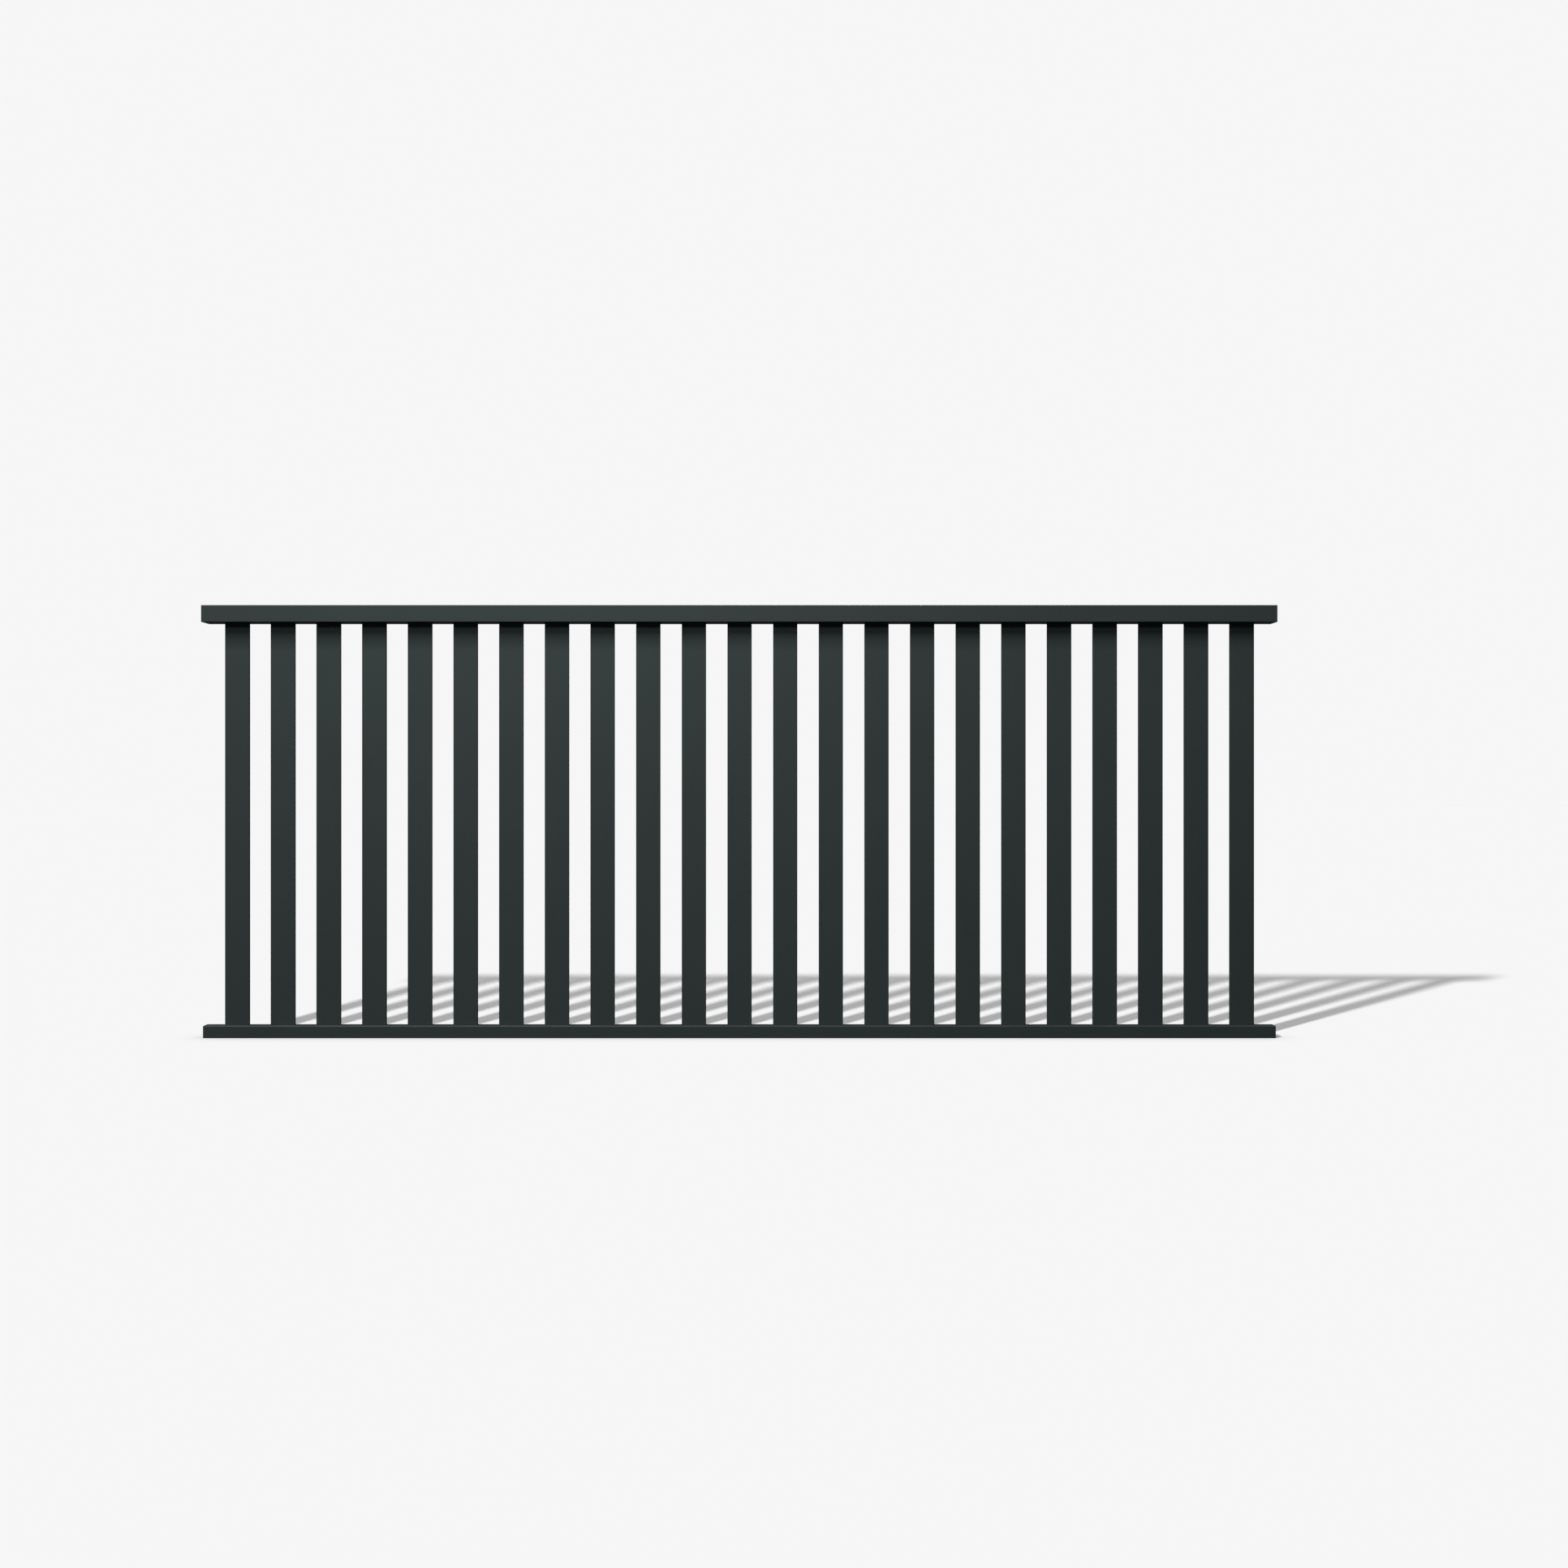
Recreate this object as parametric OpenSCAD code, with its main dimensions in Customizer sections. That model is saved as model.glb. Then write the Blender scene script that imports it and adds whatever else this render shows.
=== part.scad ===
// Slatted aluminium balustrade panel for a pool edge: a flat handrail over a row of flat
// upright slats that stand on a slotted base rail. The origin is on the floor under the middle
// of the panel. +X runs along the rails, +Z is up, and the side that faces -Y is the front.

/* [Panel] */
// Height from the floor to the top of the handrail
panel_h = 1067; // [900:1:1300]
// Number of upright slats
slat_count = 23; // [5:1:40]
// Distance from one slat's centre line to the next
slat_pitch = 113; // [90:1:130]
// Rail length beyond the outermost slats at each end
end_overhang = 50; // [30:1:90]

/* [Handrail] */
// Depth of the handrail, front to back
rail_d = 80; // [78:1:100]
// Height of the handrail
rail_h = 41.5; // [38:0.5:55]
// Wall of the handrail cover
rail_wall = 2.5; // [2:0.1:3]

/* [Slats] */
// Width of a slat, along the rails
slat_w = 60; // [54:1:80]
// Thickness of a slat, front to back
slat_t = 12; // [11.5:0.5:14]
// Wall of a slat
slat_wall = 1.5; // [1.2:0.1:1.8]
// Distance between the two screw ports inside a slat
port_spacing = 36; // [28:1:38]

/* [Base rail] */
// Depth of the base rail, front to back
base_d = 45; // [44:1:60]
// Height of the base rail
base_h = 30; // [30:0.5:40]
// Wall of the base rail
base_wall = 2.5; // [2:0.1:3]
// Width of the slot along the base rail's underside
base_slot = 25; // [22:1:26]

/* [Edges, caps and anchors] */
// Radius of the rails' long outer edges
rail_edge_r = 1.5; // [0.5:0.1:2]
// Radius of the slats' long outer edges
slat_edge_r = 1.5; // [0.5:0.1:2]
// Thickness of the end cap plates
cap_t = 3; // [2.5:0.1:4]
// Core radius of a floor bolt's thread, 3.4 for M8
floor_bolt_r = 3.4; // [2.5:0.1:4.2]
// Number of anchor nuts in the base rail
anchor_count = 4; // [2:1:4]

/* [Hidden] */
// Panel lengths and heights
panel_l = (slat_count - 1) * slat_pitch + slat_w + 2 * end_overhang;
profile_l = panel_l - 2 * cap_t;
slat_top = panel_h - rail_h;
slat_l = slat_top - base_h;
sides = [-1, 1];
cut = 1;                  // how far a cutting shape runs past what it cuts
fit = 0.3;                // clearance round parts that plug or slide into one another

// Slat carrier, the inner profile that the handrail cover slides over
rail_slot = 54;           // slot in the cover's underside, which the carrier's foot fills
foot_h = rail_wall + 0.2;
flange_w = rail_d - 2 * rail_wall - 3;
flange_t = 2.5;
carrier_floor = foot_h + flange_t;
leg_t = 2;
leg_gap = 40;
leg_top = rail_h - rail_wall - 0.2;

// Screws and the ports that they bite into
screw_r = 1.85;           // core of a 4.2 mm thread-forming screw
port_r = 1.95;
clearance_r = 2.3;
pan_head_r = 4;
pan_head_h = 2.6;
csk_head_r = 3.9;
csk_head_h = 2.1;
drive_r = 1.6;
drive_depth = 1.4;
slat_grip = 32;           // length of a slat screw inside its slat
cap_screw_l = 25;
boss_sink = 0.4;          // how far a port's round wall sinks into the flat wall beside it
slat_boss_r = slat_t / 2 - slat_wall + boss_sink;
side_boss_r = port_r + 1.9;
rail_port_y = rail_d / 2 - rail_wall - side_boss_r + boss_sink;
base_port_y = base_d / 2 - base_wall - side_boss_r + boss_sink;

// Lock screws, from below through the cover's lips into the carrier's flange
lock_y = (rail_slot + rail_d) / 4 - rail_wall / 2;
lock_screw_l = 10;

// Anchor nuts: plates that slide along inside the base rail, one between two slats
anchor_l = 50;
anchor_w = base_d - 2 * base_wall - 2 * fit;
anchor_t = 8;
anchor_corner_r = 3;

// End cap spigots
spigot_l = 6;
spigot_t = 2;

coat_colour = [0.21, 0.25, 0.25];
stainless_colour = [0.72, 0.73, 0.74];
zinc_colour = [0.62, 0.64, 0.63];

function slat_x(i) = (i - (slat_count - 1) / 2) * slat_pitch;
function slat_name(i) = str("slat_", i < 9 ? "0" : "", i + 1);
function anchor_x(k) = slat_x(round(k * (slat_count - 2) / (anchor_count - 1))) + slat_pitch / 2;

$fn = 48;

// ---- outlines and fasteners ----

// A rectangle with rounded corners, standing on the X axis
module standing_rect(w, h, r) {
    translate([-w / 2 + r, 0]) square([w - 2 * r, h]);
    translate([-w / 2, r]) square([w, h - 2 * r]);
    for (x = sides, y = [r, h - r])
        translate([x * (w / 2 - r), y]) circle(r);
}

// A sharp rectangle from height z0 to z1, centred across
module block(w, z0, z1) {
    translate([-w / 2, z0]) square([w, z1 - z0]);
}

// Extrudes a cross-section along the rail, its X becoming Y and its Y becoming Z
module along_rail(length) {
    rotate([90, 0, 90]) linear_extrude(length, center = true) children();
}

// Places its children at the ends of both slat ports of every slat
module at_each_port() {
    for (i = [0 : slat_count - 1], s = sides)
        translate([slat_x(i) + s * port_spacing / 2, 0, 0]) children();
}

// Pan head screw, head up, the underside of its head at the origin
module pan_screw(length) {
    difference() {
        union() {
            cylinder(r = pan_head_r, h = pan_head_h);
            translate([0, 0, -length]) cylinder(r = screw_r, h = length + cut);
        }
        translate([0, 0, pan_head_h - drive_depth]) cylinder(r = drive_r, h = drive_depth + cut, $fn = 6);
    }
}

// Outside of a countersunk screw, head up, the face of its head at the origin
module csk_body(length, gap = 0) {
    translate([0, 0, -csk_head_h]) cylinder(r1 = screw_r + gap, r2 = csk_head_r + gap, h = csk_head_h);
    translate([0, 0, -length]) cylinder(r = screw_r + gap, h = length - csk_head_h);
}

module csk_screw(length) {
    difference() {
        csk_body(length);
        translate([0, 0, -drive_depth]) cylinder(r = drive_r, h = drive_depth + cut, $fn = 6);
    }
}

// ---- handrail ----

module handrail_cover_profile() {
    difference() {
        union() {
            difference() {
                standing_rect(rail_d, rail_h, rail_edge_r);
                block(rail_d - 2 * rail_wall, rail_wall, rail_h - rail_wall);
                block(rail_slot, -cut, rail_wall + cut);
            }
            for (y = sides) translate([y * rail_port_y, rail_h / 2]) circle(side_boss_r);
        }
        for (y = sides) translate([y * rail_port_y, rail_h / 2]) circle(port_r);
    }
}

module slat_carrier_profile() {
    block(rail_slot - 2 * fit, 0, foot_h);
    block(flange_w, foot_h, carrier_floor);
    for (y = sides)
        translate([y * (leg_gap + leg_t) / 2, 0]) block(leg_t, carrier_floor, leg_top);
}

// Places its children at every lock screw, pointing up into the underside of the handrail
module at_each_lock() {
    for (k = [0 : anchor_count - 1], y = sides)
        translate([anchor_x(k), y * lock_y, slat_top]) mirror([0, 0, 1]) children();
}

module handrail_cover() {
    color(coat_colour) difference() {
        translate([0, 0, slat_top]) along_rail(profile_l) handrail_cover_profile();
        at_each_lock() csk_body(lock_screw_l, 0.1);
    }
}

module slat_carrier() {
    color(coat_colour) difference() {
        translate([0, 0, slat_top]) along_rail(profile_l) slat_carrier_profile();
        at_each_port() translate([0, 0, slat_top - cut]) cylinder(r = clearance_r, h = carrier_floor + 2 * cut);
        at_each_lock() translate([0, 0, -carrier_floor - cut]) cylinder(r = port_r, h = carrier_floor);
    }
}

module cover_lock_screws() {
    color(stainless_colour) at_each_lock() csk_screw(lock_screw_l);
}

module upper_slat_screws() {
    color(stainless_colour) translate([0, 0, slat_top + carrier_floor])
        at_each_port() pan_screw(carrier_floor + slat_grip);
}

// ---- slats ----

module slat(i) {
    color(coat_colour) translate([slat_x(i), 0, base_h]) linear_extrude(slat_l) difference() {
        translate([0, -slat_t / 2]) standing_rect(slat_w, slat_t, slat_edge_r);
        difference() {
            square([slat_w - 2 * slat_wall, slat_t - 2 * slat_wall], center = true);
            for (s = sides) translate([s * port_spacing / 2, 0]) circle(slat_boss_r);
        }
        for (s = sides) translate([s * port_spacing / 2, 0]) circle(port_r);
    }
}

// ---- base rail ----

module base_rail_profile() {
    difference() {
        union() {
            difference() {
                standing_rect(base_d, base_h, rail_edge_r);
                block(base_d - 2 * base_wall, base_wall, base_h - base_wall);
                block(base_slot, -cut, base_wall + cut);
            }
            for (y = sides) translate([y * base_port_y, base_h / 2]) circle(side_boss_r);
        }
        for (y = sides) translate([y * base_port_y, base_h / 2]) circle(port_r);
    }
}

module base_rail() {
    color(coat_colour) difference() {
        along_rail(profile_l) base_rail_profile();
        at_each_port() translate([0, 0, base_h - base_wall - cut])
            cylinder(r = clearance_r, h = base_wall + 2 * cut);
    }
}

module lower_slat_screws() {
    color(stainless_colour) translate([0, 0, base_h - base_wall])
        at_each_port() mirror([0, 0, 1]) pan_screw(base_wall + slat_grip);
}

module anchor_nuts() {
    color(zinc_colour) for (k = [0 : anchor_count - 1])
        translate([anchor_x(k), 0, base_wall]) difference() {
            linear_extrude(anchor_t) translate([0, -anchor_w / 2])
                standing_rect(anchor_l, anchor_w, anchor_corner_r);
            translate([0, 0, -cut]) cylinder(r = floor_bolt_r, h = anchor_t + 2 * cut);
        }
}

// ---- end caps, drawn for the right-hand end and mirrored for the left ----

module at_end(side) {
    mirror([side < 0 ? 1 : 0, 0, 0]) translate([panel_l / 2, 0, 0]) children();
}

// Places its children at both screws of a cap, pointing out of its face
module at_cap_screws(port_y, h) {
    for (y = sides) translate([0, y * port_y, h / 2]) rotate([0, 90, 0]) children();
}

// A flush plate d by h with a hollow spigot that reaches from z0 to z1 inside the profile
module end_cap(d, h, port_y, spigot_w, z0, z1) {
    difference() {
        translate([-cap_t / 2, 0, 0]) along_rail(cap_t) standing_rect(d, h, rail_edge_r);
        at_cap_screws(port_y, h) csk_body(cap_t + cut, 0.1);
    }
    translate([-cap_t - spigot_l / 2, 0, 0]) along_rail(spigot_l) difference() {
        block(spigot_w, z0, z1);
        block(spigot_w - 2 * spigot_t, z0 + spigot_t, z1 - spigot_t);
    }
}

module handrail_cap(side) {
    color(coat_colour) at_end(side) translate([0, 0, slat_top])
        end_cap(rail_d, rail_h, rail_port_y, leg_gap - 2 * fit, carrier_floor + fit, leg_top - fit);
}

module base_cap(side) {
    color(coat_colour) at_end(side)
        end_cap(base_d, base_h, base_port_y, 2 * (base_port_y - side_boss_r - fit),
                base_wall + fit, base_h - base_wall - fit);
}

module handrail_cap_screws() {
    color(stainless_colour) for (side = sides)
        at_end(side) translate([0, 0, slat_top]) at_cap_screws(rail_port_y, rail_h) csk_screw(cap_screw_l);
}

module base_cap_screws() {
    color(stainless_colour) for (side = sides)
        at_end(side) at_cap_screws(base_port_y, base_h) csk_screw(cap_screw_l);
}

handrail_cover();
slat_carrier();
handrail_cap(-1);  // handrail_cap_left
handrail_cap(1);  // handrail_cap_right
handrail_cap_screws();
cover_lock_screws();
upper_slat_screws();
for (i = [0 : slat_count - 1])
    slat(i);
lower_slat_screws();
base_rail();
anchor_nuts();
base_cap(-1);  // base_cap_left
base_cap(1);  // base_cap_right
base_cap_screws();
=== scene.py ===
import math

import bpy
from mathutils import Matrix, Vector


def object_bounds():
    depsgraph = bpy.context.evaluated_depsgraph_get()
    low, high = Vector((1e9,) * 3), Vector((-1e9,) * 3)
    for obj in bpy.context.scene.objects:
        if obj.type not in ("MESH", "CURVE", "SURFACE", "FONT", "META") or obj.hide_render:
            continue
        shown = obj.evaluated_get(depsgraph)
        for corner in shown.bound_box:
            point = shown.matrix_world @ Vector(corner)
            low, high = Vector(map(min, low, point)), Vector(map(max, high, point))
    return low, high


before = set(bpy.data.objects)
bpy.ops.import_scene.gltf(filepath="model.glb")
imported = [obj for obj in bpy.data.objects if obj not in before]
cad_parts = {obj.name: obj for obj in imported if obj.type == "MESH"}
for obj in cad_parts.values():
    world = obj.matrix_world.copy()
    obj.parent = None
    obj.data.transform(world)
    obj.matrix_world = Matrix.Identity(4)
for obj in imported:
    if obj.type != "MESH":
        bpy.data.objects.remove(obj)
cad_low, cad_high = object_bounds()

# The frame, in metres: X along the rails, Y from front to back, Z up, the floor at 0
MID_X = (cad_low.x + cad_high.x) / 2
MID_Y = (cad_low.y + cad_high.y) / 2
FLOOR_Z = cad_low.z

# Camera: square on to the front, a little right of the middle, at about 0.6 of the panel's height
CAMERA_PLACE = Vector((MID_X + 0.110, MID_Y - 5.393, FLOOR_Z + 0.627))
LENS_MM = 50
SENSOR_MM = 36

# The floor and background are lit on their own, so that their tone and shadow stay even
BACKDROP = 0.9216           # their pale grey, as linear light
BACKDROP_PLACE = Vector((MID_X - 2.141, CAMERA_PLACE.y, FLOOR_Z + 4.470))
BACKDROP_LAMP_RADIUS = 0.125
KEY_SHARE = 0.555           # share of the floor's light that casts the panel's shadow
KEY_STEP = 0.13             # the key is three lamps this far above each other
FLOOR_REACH = 60            # so far that the floor's edge meets the background at the horizon
FLOOR_ALBEDO = 0.1
PAINTED_SHADE_REACH = 0.1         # how near the base rail the floor's colour is darkened, as painted contact shade
PAINTED_SHADE_DEPTH = 0.6         # share by which the floor's colour is darkened where it is wholly closed in: painted contact shade for the light it would lose

# Softboxes for the panel's front stand on an arc over it, in planes square to the rails
ARC_MIDDLE_Z = FLOOR_Z + 1.0
ARC_RADIUS = 7.0
ARC_BOX_SIZE = (0.5, 1.15)  # width, height
ARC_AIM_Z = FLOOR_Z + 0.8
ARC_AIM_SHARE = 0.3         # a softbox at X aims at this share of X, along the panel
FRONT_X = -1.05
FRONT_RISES = (20, 40, 50)  # degrees above the horizon
FRONT_LOWEST_W = 50
FRONT_STEP_W = 60           # each one is this much stronger than the one below it
LEFT_X = -3.4
LEFT_RISE = 60
LEFT_W = 300

# Softboxes at the sides and behind
OUTER_AIM = (0, 0, FLOOR_Z + 0.5)
SIDE_X = 4.5
SIDE_Y = 0.6
SIDE_Z = FLOOR_Z + 2
SIDE_SIZE = (2, 2)
SIDE_W = 60
BACK_PLACE = (0.6, 4.8, FLOOR_Z + 4.6)
BACK_SIZE = (1.2, 3)
BACK_W = 260
# This one is no higher than the base rail's top face, which would mirror it into the camera
BACK_LOW_PLACE = (0.6, 4, FLOOR_Z + 0.016)
BACK_LOW_SIZE = (3, 0.028)
BACK_LOW_W = 90
AMBIENT = 0.05              # light that the panel gets from all round

# Finishes, as linear light
COAT = (0.025, 0.031, 0.031)
COAT_SHEEN = (0.80, 1.0, 1.0, 1)
COAT_WORN = (0.062, 0.070, 0.069)
DUST = (0.12, 0.118, 0.110)
STEEL_BRIGHT = (0.60, 0.61, 0.62)
STEEL_FILM = (0.47, 0.47, 0.46)
STEEL_SCRATCH = (0.68, 0.69, 0.70)
ZINC_DARK = (0.46, 0.49, 0.53)
ZINC_BRIGHT = (0.60, 0.61, 0.62)
ZINC_STAIN = (0.60, 0.55, 0.41)
ZINC_EDGE = (0.36, 0.36, 0.36)

# The colour sockets of a Mix node that is set to RGBA: its two inputs and its output
MIX_FIRST = 6
MIX_SECOND = 7
MIX_RESULT = 2


def make_camera():
    data = bpy.data.cameras.new("camera")
    data.lens = LENS_MM
    data.sensor_width = SENSOR_MM
    camera = bpy.data.objects.new("camera", data)
    camera.location = CAMERA_PLACE
    camera.rotation_euler = (math.radians(90), 0, 0)
    bpy.context.scene.collection.objects.link(camera)
    bpy.context.scene.camera = camera


def place_lamp(name, data, place, lights):
    """Puts a lamp in the scene that lights only the given objects."""
    lamp = bpy.data.objects.new(name, data)
    lamp.location = place
    bpy.context.scene.collection.objects.link(lamp)
    receivers = bpy.data.collections.new(name + "_lights")
    for obj in lights:
        receivers.objects.link(obj)
    lamp.light_linking.receiver_collection = receivers
    return lamp


def even_light(data):
    """Makes a lamp light the whole floor to one level: nothing is lost to distance or slant."""
    data.use_nodes = True
    nodes, links = data.node_tree.nodes, data.node_tree.links
    falloff = nodes.new("ShaderNodeLightFalloff")
    falloff.inputs["Strength"].default_value = 1
    path = nodes.new("ShaderNodeLightPath")
    times = nodes.new("ShaderNodeMath")
    times.operation = "MULTIPLY"
    links.new(falloff.outputs["Constant"], times.inputs[0])
    links.new(path.outputs["Ray Length"], times.inputs[1])
    links.new(times.outputs["Value"], nodes["Emission"].inputs["Strength"])


def make_floor():
    corners = [(x * FLOOR_REACH, y * FLOOR_REACH, FLOOR_Z) for x, y in ((-1, -1), (1, -1), (1, 1), (-1, 1))]
    mesh = bpy.data.meshes.new("floor")
    mesh.from_pydata(corners, [], [(0, 1, 2, 3)])
    floor = bpy.data.objects.new("floor", mesh)
    bpy.context.scene.collection.objects.link(floor)
    # the panel gets AMBIENT from below instead of the floor's light, which is far brighter
    floor.visible_diffuse = False
    floor.visible_glossy = False
    mesh.materials.append(floor_paper())
    return floor


def floor_paper():
    paper = bpy.data.materials.new("floor")
    paper.use_nodes = True
    nodes, links = paper.node_tree.nodes, paper.node_tree.links
    shader = nodes["Principled BSDF"]
    shader.inputs["Roughness"].default_value = 1
    shader.inputs["Specular IOR Level"].default_value = 0
    # painted contact shade: an ambient occlusion node darkens the floor's colour near the base rail, where
    # real shade would fall
    painted_contact_shade = nodes.new("ShaderNodeAmbientOcclusion")
    painted_contact_shade.inputs["Distance"].default_value = PAINTED_SHADE_REACH
    floor_tone_and_painted_shade = nodes.new("ShaderNodeMix")
    floor_tone_and_painted_shade.data_type = "RGBA"
    for socket, level in ((MIX_FIRST, FLOOR_ALBEDO * (1 - PAINTED_SHADE_DEPTH)), (MIX_SECOND, FLOOR_ALBEDO)):
        floor_tone_and_painted_shade.inputs[socket].default_value = (level, level, level, 1)
    links.new(painted_contact_shade.outputs["AO"], floor_tone_and_painted_shade.inputs["Factor"])
    links.new(floor_tone_and_painted_shade.outputs[MIX_RESULT], shader.inputs["Base Color"])
    return paper


def place_backdrop_lamp(name, rise, share, casts, floor):
    place = BACKDROP_PLACE + Vector((0, 0, rise))
    # W watts at height h give the floor the level albedo * W * h / (4 * pi * pi), with even_light
    need = (BACKDROP / FLOOR_ALBEDO - AMBIENT) * 4 * math.pi ** 2
    data = bpy.data.lights.new(name, "POINT")
    data.energy = need * share / (place.z - FLOOR_Z)
    data.shadow_soft_size = BACKDROP_LAMP_RADIUS
    data.use_shadow = casts
    even_light(data)
    place_lamp(name, data, place, [floor])


def make_backdrop_lamps(floor):
    for name, rise in (("low", -KEY_STEP), ("middle", 0), ("high", KEY_STEP)):
        place_backdrop_lamp("backdrop_key_" + name, rise, KEY_SHARE / 3, True, floor)
    place_backdrop_lamp("backdrop_fill", 0, 1 - KEY_SHARE, False, floor)


def place_softbox(name, place, target, size, watts, lights):
    data = bpy.data.lights.new(name, "AREA")
    data.shape = "RECTANGLE"
    data.size, data.size_y = size
    data.energy = watts
    lamp = place_lamp(name, data, place, lights)
    lamp.rotation_euler = (Vector(target) - lamp.location).to_track_quat("-Z", "Y").to_euler()


def place_on_arc(name, x, rise, watts, lights):
    angle = math.radians(rise)
    place = (x, -ARC_RADIUS * math.cos(angle), ARC_MIDDLE_Z + ARC_RADIUS * math.sin(angle))
    place_softbox(name, place, (ARC_AIM_SHARE * x, 0, ARC_AIM_Z), ARC_BOX_SIZE, watts, lights)


def make_softboxes():
    panel = list(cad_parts.values())
    base = [node for name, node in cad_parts.items() if name.startswith("base_")]
    upper = [node for node in panel if node not in base]
    for step, rise in enumerate(FRONT_RISES):
        place_on_arc(f"front_softbox_{rise}", FRONT_X, rise, FRONT_LOWEST_W + step * FRONT_STEP_W, panel)
    place_on_arc("left_softbox", LEFT_X, LEFT_RISE, LEFT_W, panel)
    for name, x in (("left_side_softbox", -SIDE_X), ("right_side_softbox", SIDE_X)):
        place_softbox(name, (x, SIDE_Y, SIDE_Z), OUTER_AIM, SIDE_SIZE, SIDE_W, panel)
    place_softbox("back_softbox", BACK_PLACE, OUTER_AIM, BACK_SIZE, BACK_W, upper)
    level_aim = (0, 0, BACK_LOW_PLACE[2])
    place_softbox("back_low_softbox", BACK_LOW_PLACE, level_aim, BACK_LOW_SIZE, BACK_LOW_W, base)


def make_world():
    world = bpy.data.worlds.new("studio")
    world.use_nodes = True
    nodes, links = world.node_tree.nodes, world.node_tree.links
    seen = nodes["Background"]
    seen.inputs["Color"].default_value = (BACKDROP, BACKDROP, BACKDROP, 1)
    ambient = nodes.new("ShaderNodeBackground")
    ambient.inputs["Color"].default_value = (AMBIENT, AMBIENT, AMBIENT, 1)
    path = nodes.new("ShaderNodeLightPath")
    mix = nodes.new("ShaderNodeMixShader")
    links.new(path.outputs["Is Camera Ray"], mix.inputs["Fac"])
    links.new(ambient.outputs["Background"], mix.inputs[1])
    links.new(seen.outputs["Background"], mix.inputs[2])
    links.new(mix.outputs["Shader"], nodes["World Output"].inputs["Surface"])
    bpy.context.scene.world = world
    bpy.context.scene.view_settings.view_transform = "Standard"


class Look:
    """One material's node tree, with short ways to add what every finish here needs."""

    def __init__(self, name, metallic=0.0):
        self.material = bpy.data.materials.new(name)
        self.material.use_nodes = True
        self.nodes, self.links = self.material.node_tree.nodes, self.material.node_tree.links
        self.shader = self.nodes["Principled BSDF"]
        self.shader.inputs["Metallic"].default_value = metallic
        self.place = self.nodes.new("ShaderNodeTexCoord").outputs["Object"]
        self.height = None

    def noise(self, size, detail=2.0, roughness=0.5, stretch=(1, 1, 1)):
        """Noise about size metres across, drawn out along the axes where stretch is over 1."""
        mapping = self.nodes.new("ShaderNodeMapping")
        mapping.inputs["Scale"].default_value = [1 / (size * s) for s in stretch]
        self.links.new(self.place, mapping.inputs["Vector"])
        noise = self.nodes.new("ShaderNodeTexNoise")
        noise.inputs["Scale"].default_value = 1
        noise.inputs["Detail"].default_value = detail
        noise.inputs["Roughness"].default_value = roughness
        self.links.new(mapping.outputs["Vector"], noise.inputs["Vector"])
        return noise.outputs["Fac"]

    def cells(self, size):
        mapping = self.nodes.new("ShaderNodeMapping")
        mapping.inputs["Scale"].default_value = [1 / size] * 3
        self.links.new(self.place, mapping.inputs["Vector"])
        cells = self.nodes.new("ShaderNodeTexVoronoi")
        cells.inputs["Scale"].default_value = 1
        self.links.new(mapping.outputs["Vector"], cells.inputs["Vector"])
        return cells.outputs["Distance"]

    def math(self, operation, a, b=0.0):
        node = self.nodes.new("ShaderNodeMath")
        node.operation = operation
        for socket, value in zip(node.inputs, (a, b)):
            if isinstance(value, (int, float)):
                socket.default_value = value
            else:
                self.links.new(value, socket)
        return node.outputs["Value"]

    def spread(self, value, low, high, to_low=0.0, to_high=1.0):
        """Maps low..high to to_low..to_high, and holds what lies outside at the ends."""
        node = self.nodes.new("ShaderNodeMapRange")
        for socket, number in zip(("From Min", "From Max", "To Min", "To Max"), (low, high, to_low, to_high)):
            node.inputs[socket].default_value = number
        self.links.new(value, node.inputs["Value"])
        return node.outputs["Result"]

    def blend(self, share, first, second):
        node = self.nodes.new("ShaderNodeMix")
        node.data_type = "RGBA"
        self.links.new(share, node.inputs["Factor"])
        for socket, colour in zip((node.inputs[MIX_FIRST], node.inputs[MIX_SECOND]), (first, second)):
            if isinstance(colour, tuple):
                socket.default_value = (*colour, 1)
            else:
                self.links.new(colour, socket)
        return node.outputs[MIX_RESULT]

    def facing(self):
        """The surface's own normal, as three values."""
        split = self.nodes.new("ShaderNodeSeparateXYZ")
        self.links.new(self.nodes.new("ShaderNodeNewGeometry").outputs["Normal"], split.inputs["Vector"])
        return split.outputs

    def rounded_edge(self):
        """1 along the middle of a rounded edge, and 0 on the flats beside it."""
        x, y, z = (self.math("ABSOLUTE", value) for value in self.facing())
        flat = self.math("MAXIMUM", self.math("MAXIMUM", x, y), z)
        return self.spread(flat, 0.98, 0.74)

    def bump(self, value, depth_mm, strength=1.0):
        node = self.nodes.new("ShaderNodeBump")
        node.inputs["Strength"].default_value = strength
        node.inputs["Distance"].default_value = depth_mm / 1000
        self.links.new(value, node.inputs["Height"])
        if self.height:
            self.links.new(self.height, node.inputs["Normal"])
        self.height = node.outputs["Normal"]

    def done(self, colour, roughness):
        self.links.new(colour, self.shader.inputs["Base Color"])
        self.links.new(roughness, self.shader.inputs["Roughness"])
        if self.height:
            self.links.new(self.height, self.shader.inputs["Normal"])
        return self.material


def tone(colour, factor):
    return tuple(c * factor for c in colour)


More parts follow.
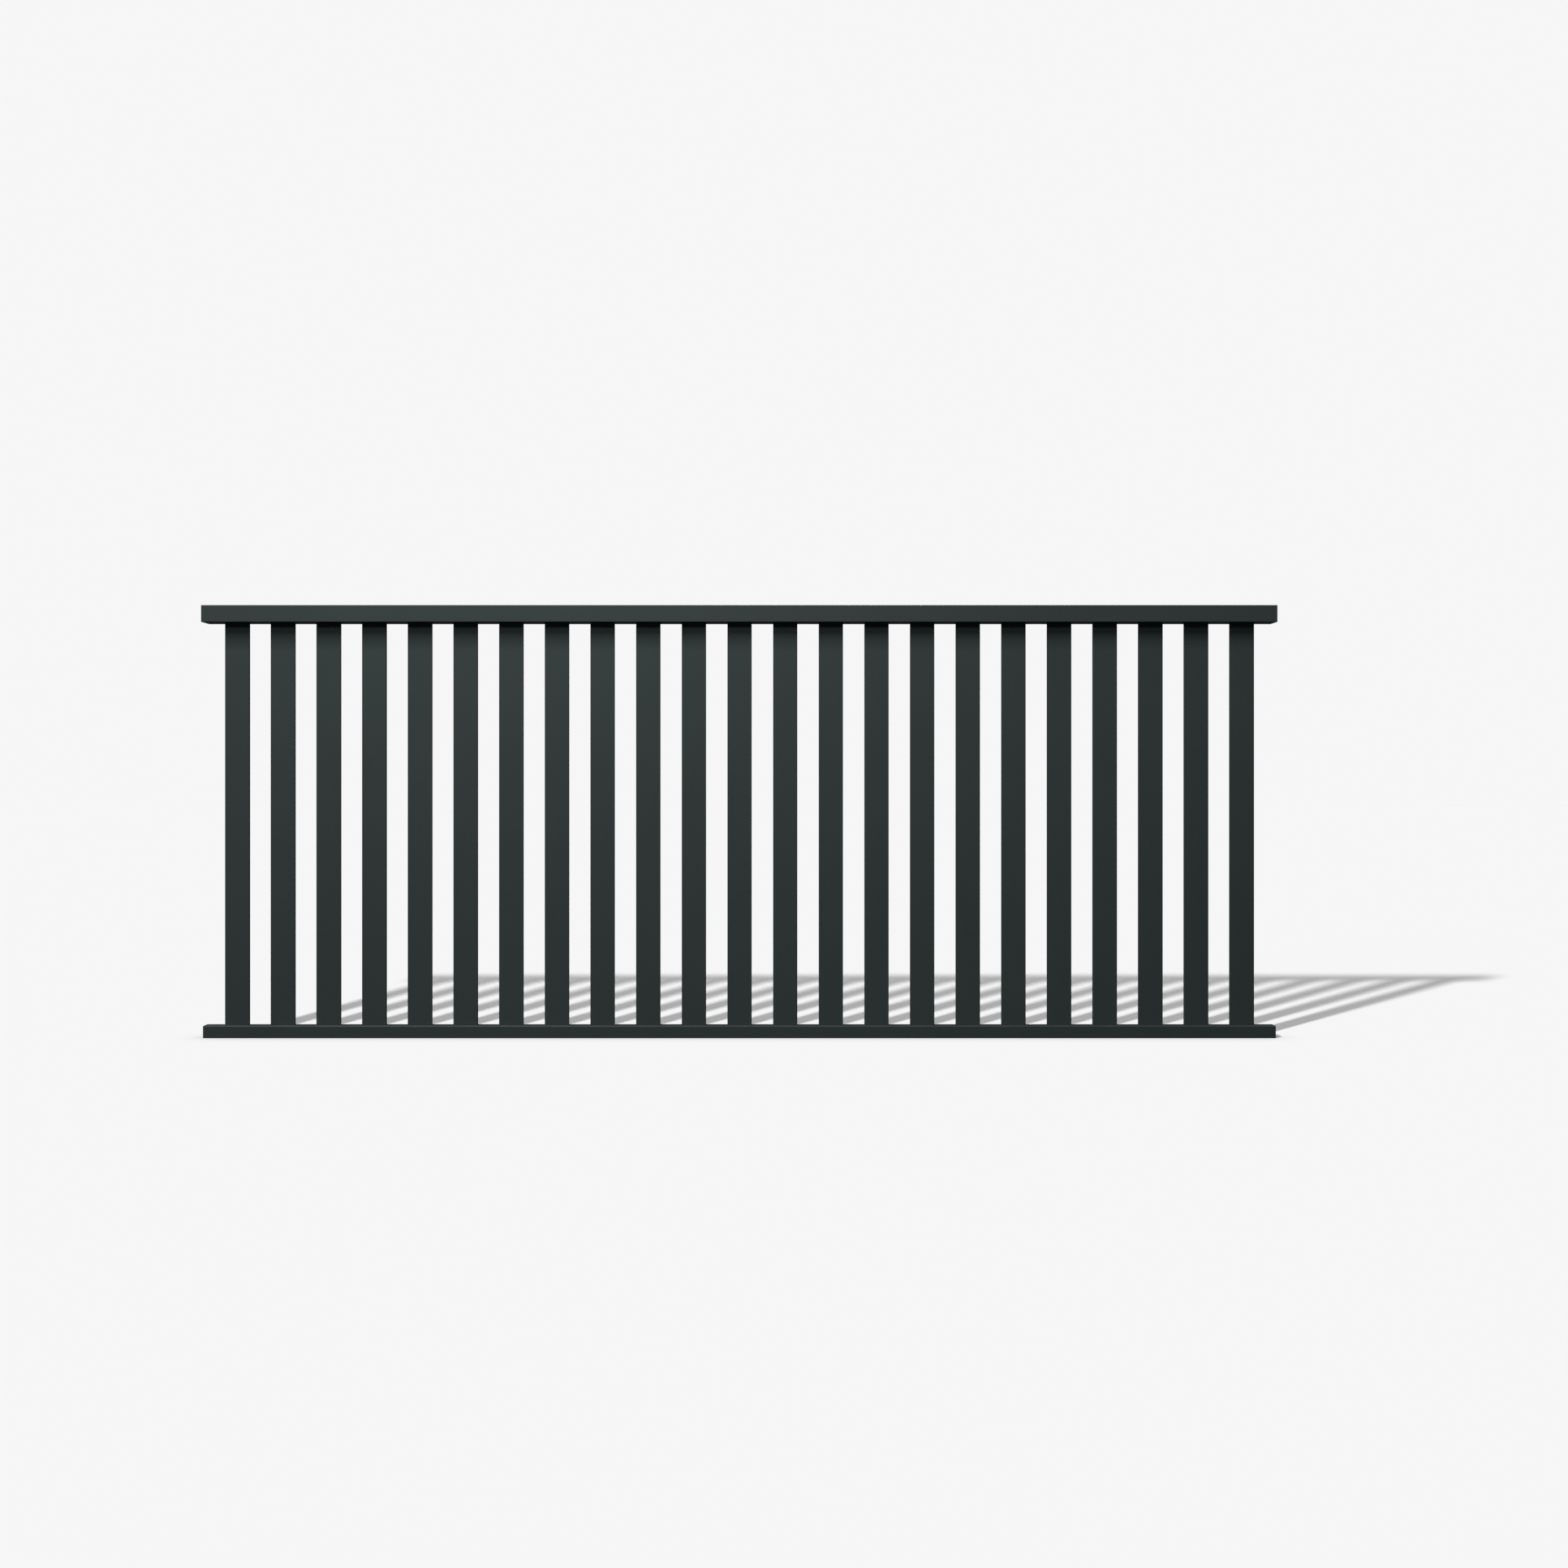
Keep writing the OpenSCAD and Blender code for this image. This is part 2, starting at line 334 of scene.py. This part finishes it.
def powder_coat(name, grain, roughness=0.52, peel_mm=0.012):
    """Matt fine-texture powder coat on aluminium, with grain as the stretch of the extrusion's die lines."""
    look = Look(name)
    look.shader.inputs["Specular Tint"].default_value = COAT_SHEEN
    cloud = look.spread(look.noise(0.22, 3, 0.55), 0.3, 0.7)
    speckle = look.spread(look.noise(0.0011, 1, 0.5), 0.35, 0.65)
    lines = look.noise(0.0035, 2, 0.6, grain)
    colour = look.blend(cloud, tone(COAT, 0.93), tone(COAT, 1.07))
    colour = look.blend(look.math("MULTIPLY", speckle, 0.35), colour, tone(COAT, 1.25))
    colour = look.blend(look.spread(lines, 0.35, 0.65, 0.0, 0.12), colour, tone(COAT, 0.7))
    # the coat lies thinner over the rounded edges, and hands and cloths polish it there
    rubbed = look.spread(look.noise(0.03, 4, 0.6), 0.35, 0.7, 0.05, 0.3)
    worn = look.math("MULTIPLY", look.rounded_edge(), rubbed)
    colour = look.blend(worn, colour, COAT_WORN)
    # fine dust settles on what faces up
    up = look.spread(look.facing()[2], 0.85, 1.0)
    dust = look.math("MULTIPLY", up, look.spread(look.noise(0.05, 5, 0.65), 0.3, 0.75, 0.05, 0.30))
    colour = look.blend(dust, colour, DUST)
    rough = look.spread(look.noise(0.004, 3, 0.6), 0.3, 0.7, roughness - 0.035, roughness + 0.035)
    rough = look.math("ADD", rough, look.math("MULTIPLY", dust, 0.5))
    rough = look.math("SUBTRACT", rough, look.math("MULTIPLY", worn, 0.1))
    look.bump(look.noise(0.0028, 2, 0.5), peel_mm)
    look.bump(look.noise(0.0006, 1, 0.5), 0.006)
    look.bump(lines, 0.01, 0.5)
    return look.done(colour, rough)


def stainless_steel(name):
    """Rolled and tumbled stainless screws: short scratches every way, and a greyer film in patches."""
    look = Look(name, metallic=1.0)
    film = look.spread(look.noise(0.006, 4, 0.6), 0.35, 0.7)
    along, across = (look.noise(0.00025, 2, 0.6, stretch) for stretch in ((12, 1, 1), (1, 12, 1)))
    scratch = look.spread(look.math("ADD", along, across), 0.8, 1.2)
    colour = look.blend(film, STEEL_BRIGHT, STEEL_FILM)
    colour = look.blend(look.math("MULTIPLY", scratch, 0.3), colour, STEEL_SCRATCH)
    rough = look.math("ADD", look.spread(film, 0, 1, 0.42, 0.54), look.math("MULTIPLY", scratch, 0.08))
    look.bump(scratch, 0.004)
    return look.done(colour, rough)


def zinc_plate(name):
    """Zinc plate with a clear blue passivation: a fine crystal spangle, and faint yellow where it dried."""
    look = Look(name, metallic=1.0)
    spangle = look.spread(look.cells(0.0016), 0.1, 0.7)
    stain = look.spread(look.noise(0.012, 4, 0.6), 0.4, 0.7)
    colour = look.blend(spangle, ZINC_DARK, ZINC_BRIGHT)
    colour = look.blend(look.math("MULTIPLY", stain, 0.45), colour, ZINC_STAIN)
    edge = look.math("MULTIPLY", look.rounded_edge(), 0.4)
    colour = look.blend(edge, colour, ZINC_EDGE)
    rough = look.math("ADD", look.spread(spangle, 0, 1, 0.34, 0.46), look.math("MULTIPLY", stain, 0.08))
    look.bump(spangle, 0.006)
    return look.done(colour, rough)


def dress(nodes, material):
    for name in nodes:
        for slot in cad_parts[name].material_slots:
            slot.material = material


make_camera()
make_backdrop_lamps(make_floor())
make_softboxes()
make_world()

slats = [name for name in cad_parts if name.startswith("slat_") and name[5:].isdigit()]
screws = [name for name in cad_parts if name.endswith("_screws")]
dress(slats, powder_coat("coat_on_slats", grain=(1, 1, 60)))
dress(["handrail_cover", "slat_carrier", "base_rail"], powder_coat("coat_on_rails", grain=(60, 1, 1)))
dress(["handrail_cap_left", "handrail_cap_right", "base_cap_left", "base_cap_right"],
      powder_coat("coat_on_caps", grain=(1, 1, 1), roughness=0.55, peel_mm=0.018))
dress(screws, stainless_steel("stainless_steel_worn"))
dress(["anchor_nuts"], zinc_plate("zinc_plate_clear"))
